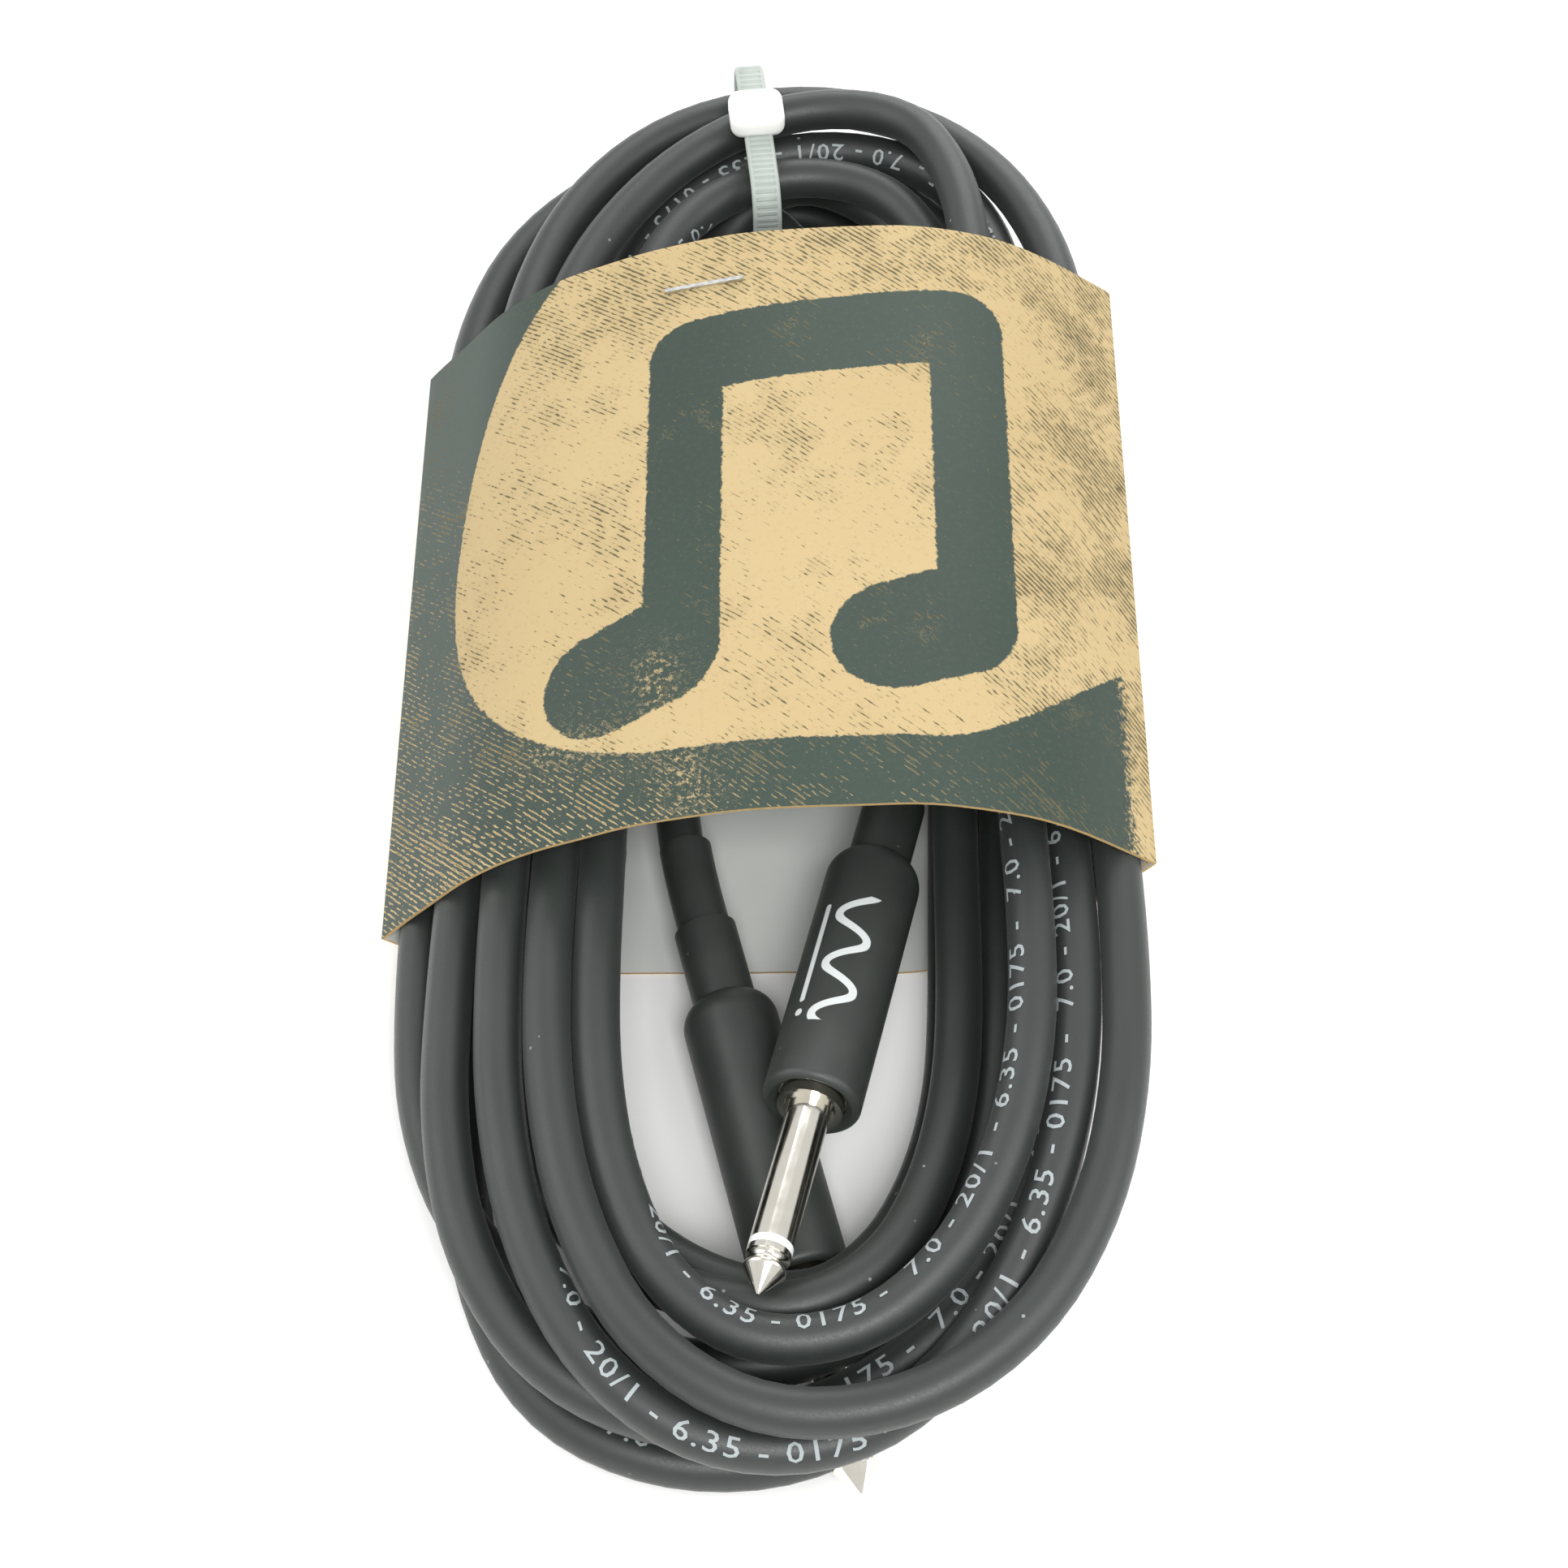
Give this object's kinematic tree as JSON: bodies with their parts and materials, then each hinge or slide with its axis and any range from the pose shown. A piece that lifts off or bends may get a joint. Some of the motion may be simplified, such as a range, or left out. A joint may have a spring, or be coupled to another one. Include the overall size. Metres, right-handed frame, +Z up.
{
  "type": "instrument cable",
  "caption": "Coiled instrument cable with two straight 6.35 mm mono jack plugs, held by a cable tie and a slide-off card sleeve.",
  "frame": {"origin": "under the middle of the whole bundle, on the surface that it lies on", "axes": "+Y along the hank's long axis towards its tied end, -Y towards the plugs' tips, +Z up from the surface, +X to the right"},
  "size_m": [0.1163, 0.2609, 0.0481],
  "materials": {
    "nickel_tip": "polished nickel plate",
    "nickel_plate": "polished nickel plate",
    "nylon_ring": "moulded, satin white",
    "fibre_washer": "pressed fibre",
    "tinned_lug": "tinned stamping",
    "core_plastic": "extruded",
    "tinned_copper": "stranded, tinned",
    "solder": "bright solder",
    "liner_film": "thin film tube",
    "boot_rubber": "matte shrink sleeve",
    "cord_jacket": "matte extruded jacket",
    "tie_nylon": "natural moulded nylon",
    "printed_card": "kraft board, one side coated, printed",
    "staple_wire": "flat galvanised wire"
  },
  "bodies": {
    "cable": {"plug_a_tip_contact": "nickel_tip", "plug_a_tip_insulator": "nylon_ring", "plug_a_ground_sleeve": "nickel_plate", "plug_a_rear_insulator": "fibre_washer", "plug_a_tip_terminal": "tinned_lug", "plug_a_ground_terminal": "tinned_lug", "plug_a_core_insulation": "core_plastic", "plug_a_core_wire": "tinned_copper", "plug_a_shield_tail": "tinned_copper", "plug_a_tip_solder": "solder", "plug_a_ground_solder": "solder", "plug_a_shell": "nickel_plate", "plug_a_liner": "liner_film", "plug_a_boot": "boot_rubber", "cord_tail_a": "cord_jacket", "strain_relief_a": "boot_rubber", "plug_b_tip_contact": "nickel_tip", "plug_b_tip_insulator": "nylon_ring", "plug_b_ground_sleeve": "nickel_plate", "plug_b_rear_insulator": "fibre_washer", "plug_b_tip_terminal": "tinned_lug", "plug_b_ground_terminal": "tinned_lug", "plug_b_core_insulation": "core_plastic", "plug_b_core_wire": "tinned_copper", "plug_b_shield_tail": "tinned_copper", "plug_b_tip_solder": "solder", "plug_b_ground_solder": "solder", "plug_b_shell": "nickel_plate", "plug_b_liner": "liner_film", "plug_b_boot": "boot_rubber", "cord_tail_b": "cord_jacket", "strain_relief_b": "boot_rubber", "cable_hank": "cord_jacket", "cable_tie": "tie_nylon"},
    "sleeve": {"card_sleeve": "printed_card", "staple": "staple_wire"}
  },
  "joints": [
    {"name": "sleeve_slide", "type": "slide", "parent": "cable", "child": "sleeve", "axis": [0, -1, 0], "range_m": [0, 0.205]}
  ]
}
